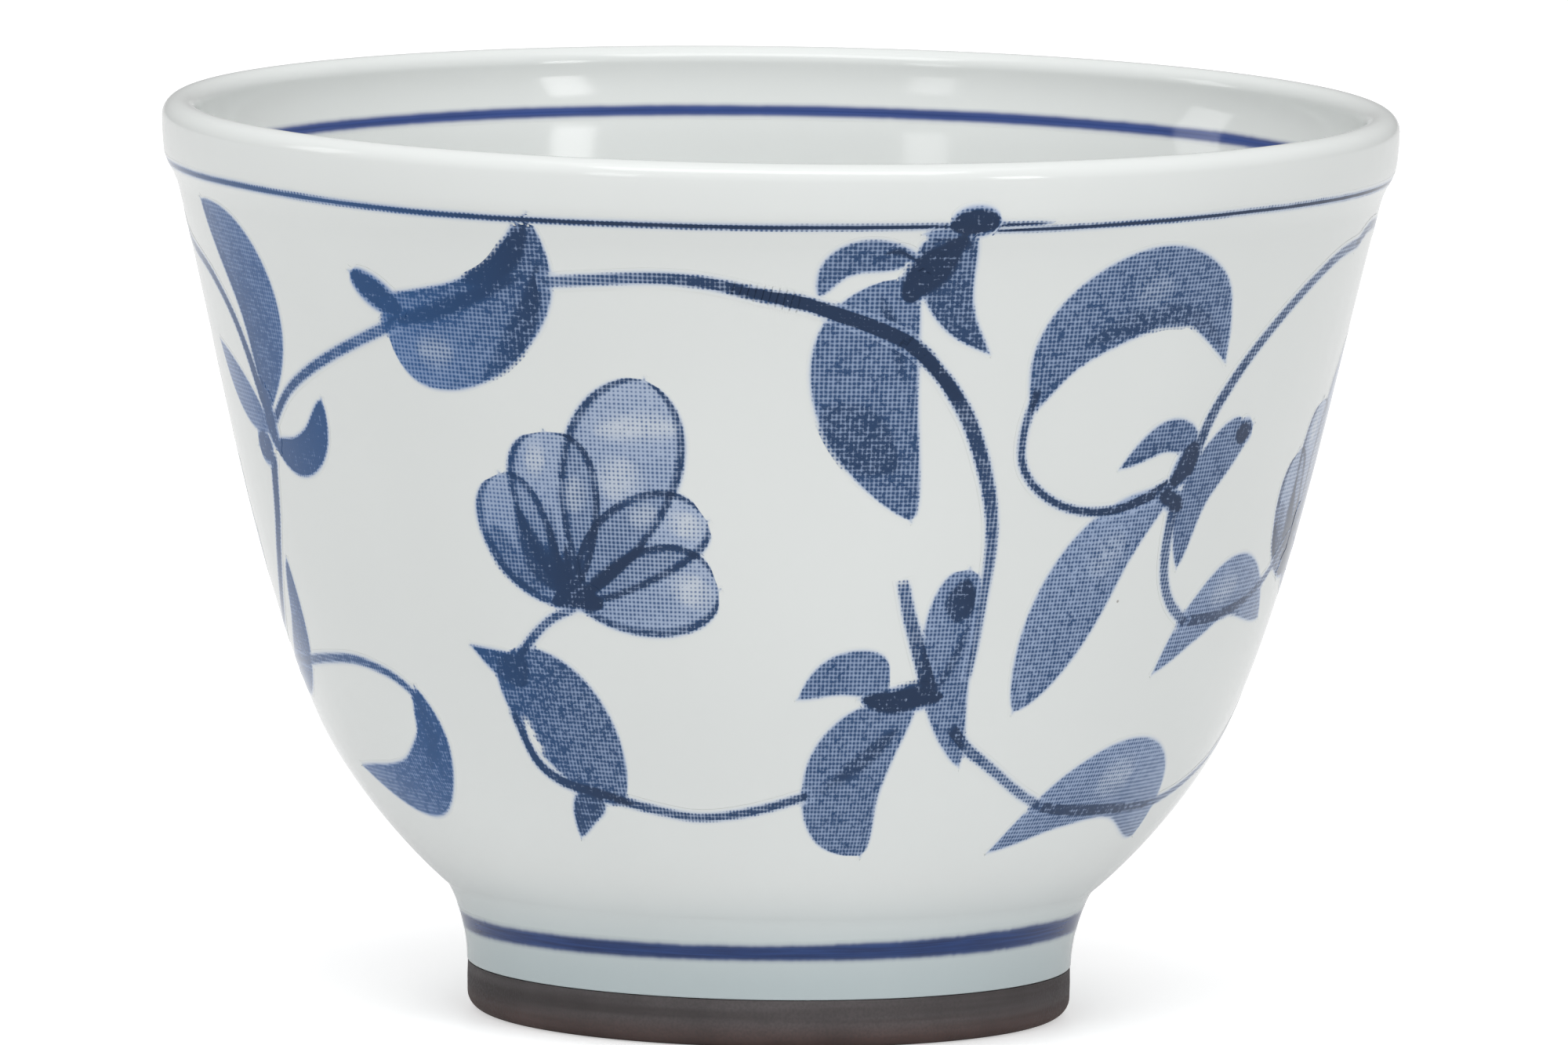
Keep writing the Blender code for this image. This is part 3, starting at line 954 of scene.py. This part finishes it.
# %% Ink at a place on the sheet
FIRM_EDGE = (-0.03, 0.08)
KNOT_EDGE = (-0.03, 0.4)
WASH_EDGE = (-0.26, 0.14)
SHADE_EDGE = (0.0, 0.6)
OUTLINE_EDGE = (0.42, 0.85)
BARE_EDGE = -0.12


def ink_at(points, marks):
    """How much wash, dot tone and grain lie at each sheet point."""
    wash = np.zeros(len(points))
    unprinted = np.ones(len(points))
    grain = np.zeros(len(points))
    kept = np.ones(len(points))
    for mark in marks:
        near = mark.near(points)
        if not near.any():
            continue
        along, across, depth = mark.measure(points[near])
        if mark.layer == BARE:
            strength, softness = mark.wash
            kept[near] *= 1 - strength * soft_step(depth, BARE_EDGE, softness)
            continue
        inside = soft_step(depth, *(KNOT_EDGE if mark.layer == KNOTS else FIRM_EDGE))
        bled = soft_step(depth, *WASH_EDGE)
        if mark.layer == SHADE:
            inside = bled = soft_step(depth, *SHADE_EDGE)
        at_root, at_tip, at_left, at_right = mark.tones
        lengthwise = at_root + (at_tip - at_root) * along
        crosswise = at_right + (at_left - at_right) * (0.5 + 0.5 * across)
        tone = 0.5 * (lengthwise + crosswise)
        if mark.outline:
            middle = soft_step(depth, *OUTLINE_EDGE)
            tone = np.maximum(0.6 * tone * middle, mark.outline * (1 - middle))
        tone = tone * inside
        strength = mark.wash[0] + (mark.wash[1] - mark.wash[0]) * along
        wash[near] = np.maximum(wash[near], strength * bled)
        unprinted[near] *= 1 - tone
        grain[near] = np.maximum(grain[near], mark.grain * bled)
    return np.stack([wash * kept, (1 - unprinted) * kept, grain, np.ones(len(points))], axis=1)


# %% One film
MARGIN = 0.3
NEAR_EDGE = 0.14
CORE_INSET, CORE_SHARE = 0.09, 0.55
FILM_DEPTH = 0.1
LAYER_LIFT = (0.010, 0.019, 0.028)
LIFT_STEP, LIFT_STEPS = 0.0006, 12
FINE_CELL, CELL = 0.22, 0.3


def cover(mark, cell):
    """A grid of sheet points, rows from the right edge to the left one, that covers a mark."""
    run = np.gradient(mark.line, axis=0)
    run /= np.linalg.norm(run, axis=1)[:, None]
    before = mark.line[0] - run[0] * (MARGIN + max(mark.left[0], mark.right[0]))
    after = mark.line[-1] + run[-1] * (MARGIN + max(mark.left[-1], mark.right[-1]))
    line = np.vstack([before, mark.line, after])
    run = np.vstack([run[:1], run, run[-1:]])
    towards_left = np.stack([-run[:, 1], run[:, 0]], axis=1)
    rows = []
    for widths_there, side in ((mark.right, -1), (mark.left, 1)):
        width = np.pad(widths_there, 1, mode="edge")
        core = np.maximum(width - CORE_INSET, CORE_SHARE * width)
        steps = max(int(np.ceil(core.max() / cell)), 1)
        reach = [core * k / steps for k in range(steps + 1)]
        reach += [width, width + NEAR_EDGE, width + MARGIN]
        rows.append([line + towards_left * (side * r)[:, None] for r in reach])
    return np.array(rows[0][:0:-1] + rows[1])


def film(mark, marks, lift, wall, cell):
    """A single-sided sheet on the wall that covers one mark and knows its ink."""
    grid = cover(mark, cell)
    rows, columns = grid.shape[:2]
    points = grid.reshape(-1, 2)
    deselect()
    bpy.ops.mesh.primitive_grid_add(x_subdivisions=columns - 1, y_subdivisions=rows - 1)
    mesh = bpy.context.object.data
    mesh.vertices.foreach_set("co", lay(points, lift, wall).ravel())
    corners = np.empty(len(mesh.loops), dtype=np.int32)
    mesh.loops.foreach_get("vertex_index", corners)
    mesh.uv_layers[0].name = "transfer"
    mesh.uv_layers[0].data.foreach_set("uv", points[corners].ravel())
    ink = mesh.attributes.new("ink", "FLOAT_COLOR", "POINT")
    ink.data.foreach_set("color", ink_at(points, marks).ravel())
    return bpy.context.object


# %% A group of films
def print_on(name, marks, material, around, wall=OUTER_WALL, cell=CELL):
    """One piece made of the films of several marks.

    around is ink that may cross them. Where it holds the marks themselves, their own tone
    counts twice.
    """
    pieces = []
    printed = [mark for mark in marks if mark.layer >= LEAVES]
    for number, mark in enumerate(printed):
        below = [other for other in (*marks, *around) if other.layer <= mark.layer]
        lift = LAYER_LIFT[mark.layer] + LIFT_STEP * (number % LIFT_STEPS)
        pieces.append(film(mark, below, lift, wall, cell))
    deselect()
    for piece in pieces:
        piece.select_set(True)
    group = pieces[0]
    bpy.context.view_layer.objects.active = group
    if len(pieces) > 1:
        bpy.ops.object.join()
    group.name = name
    group.data.name = name
    if wall[3] < 0:
        bpy.ops.object.mode_set(mode="EDIT")
        bpy.ops.mesh.select_all(action="SELECT")
        bpy.ops.mesh.flip_normals()
        bpy.ops.object.mode_set(mode="OBJECT")
    thicken = group.modifiers.new("thickness", "SOLIDIFY")
    thicken.thickness = FILM_DEPTH * MM
    thicken.offset = -1.0
    bpy.ops.object.modifier_apply(modifier=thicken.name)
    bpy.ops.object.shade_smooth_by_angle(angle=radians(30))
    group.data.materials.clear()
    group.data.materials.append(material)
    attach(group, "root")
    return group


# %% [markdown]
# ## Brushed bands
#
# Two bands are brushed, with the cup spinning on a banding wheel: a bright one inside the
# lip and a broad one round the foot. A brushed band swells and thins, its edge wavers by
# some hundredths of a millimetre, and where the brush ends its turn it overlaps its own
# start. So each band is a mark a little more than one turn long, with a random wander that
# is the same every time because its seed is fixed. The thin line under the lip is drawn in
# the same way, but it is printed with the vine.

# %% Band material
STREAKS = (0.12, 6.0, 1.0)


def band_material(name, thin, thick):
    """Cobalt laid on with a brush: solid colour with faint streaks along the band."""
    made, tree, shader, white = glazed_material(name)
    sheet, ink = sheet_and_ink(tree)
    amount = node(tree, "SeparateXYZ", [(0, ink)])
    streaks = noise(tree, vector(tree, "MULTIPLY", sheet, STREAKS), 1.0, 3.0)
    streak = ramp(tree, streaks, 0.3, 0.7)
    colour = blend(tree, maths(tree, "MULTIPLY", streak, amount.outputs["Y"]), thin, thick)
    covered = blend(tree, amount.outputs["X"], white, colour)
    plug(tree, shader, [("Base Color", covered)])
    return made


inner_blue = band_material("inner_band_cobalt", (0.014, 0.050, 0.235, 1.0),
                           (0.004, 0.024, 0.130, 1.0))
foot_blue = band_material("foot_band_cobalt", (0.010, 0.044, 0.190, 1.0),
                          (0.002, 0.018, 0.100, 1.0))

# %% Bands
wander = np.random.default_rng(5)
BAND_TURN, BAND_STEP = 367.0, 0.75
END_STEPS = 8


def band(start, height_at, width_at, tone):
    """A brushed line of a little more than one turn. Heights and widths are at stated angles."""
    angles = np.arange(start, start + BAND_TURN, BAND_STEP)
    heights = np.interp(angles, *zip(*height_at))
    widths_there = np.interp(angles, *zip(*width_at))
    slow = np.convolve(wander.normal(size=len(angles) + 8), np.ones(9) / 9, mode="valid")
    fast = wander.normal(size=len(angles))
    line = np.stack([angles * MM_PER_DEGREE, heights + 0.02 * slow], axis=1)
    half = 0.5 * widths_there * (1 + 0.05 * slow + 0.02 * fast)
    ends = np.minimum(1.0, np.arange(len(angles)) / END_STEPS)
    half = half * np.minimum(ends, ends[::-1]) ** 0.5
    return Mark(line, half, half, (tone,) * 4, (0.97, 0.97), layer=LEAVES)


lip_line = [band(-341, [(-340, 57.5), (-310, 57.9), (-240, 57.7), (-60, 58.0), (-35, 57.7),
                        (0, 57.8), (30, 58.0)],
                 [(-340, 0.3), (-60, 0.35), (0, 0.34), (30, 0.3)], 1.0)]
foot_band = [band(-235, [(-235, 6.6), (-160, 6.4), (-70, 6.3), (0, 6.6), (60, 6.9), (135, 6.6)],
                  [(-235, 1.1), (-70, 1.05), (-50, 1.0), (0, 0.95), (50, 1.35), (135, 1.1)], 0.95)]
inner_band = [band(-60, [(-60, 57.7), (310, 57.7)], [(-60, 0.58), (100, 0.64), (310, 0.58)], 0.6)]
print_on("foot_band", foot_band, foot_blue, laps(foot_band, (-360, 360)))
print_on("inner_band", inner_band, inner_blue, laps(inner_band, (-360, 360)), INNER_WALL)
print("foot_band and inner_band brushed")

# %% [markdown]
# ## Printing the vine twice round
#
# One length of the printed sheet covers half the cup, so the pattern is laid twice, end to
# end, and the long stems meet where the lengths join. The second length is the same drawing
# half a turn on, and each of its pieces has its own mesh.

# %% All the vine
NEXT_FLOWER = 102

vine["second_flower"] = laps(vine["flower"], (NEXT_FLOWER,))
vine["joining_stems"] = [
    stem([(75.5, 54.2), (79, 54.9), (84, 54.9), (88.4, 54.3)], (0.34, 0.34, 0.34)),
    stem([(77.5, 18.2), (84, 20.4), (92, 23.0), (99, 24.3), (106.5, 24.6)], (0.26, 0.28, 0.3)),
    stem([(79.5, 34.3), (83, 34.0), (86, 33.0)], (0.28, 0.26, 0.2), (0.6, 0.6)),
]
all_marks = [mark for marks in vine.values() for mark in marks]
every_turn = laps(lip_line, (-360, 0, 360))
print_on("lip_line", lip_line, printed_glaze, every_turn)
face_count = 0
for side, turned in (("front", 0), ("back", 180)):
    everything = laps(all_marks, (turned - 180, turned, turned + 180)) + every_turn
    for name, marks in vine.items():
        here = laps(marks, (turned,))
        cell = FINE_CELL if "flower" in name else CELL
        piece = print_on(f"{name}_{side}", here, printed_glaze, everything, cell=cell)
        face_count += len(piece.data.polygons)
print("vine:", 2 * len(vine), "pieces,", face_count, "faces")
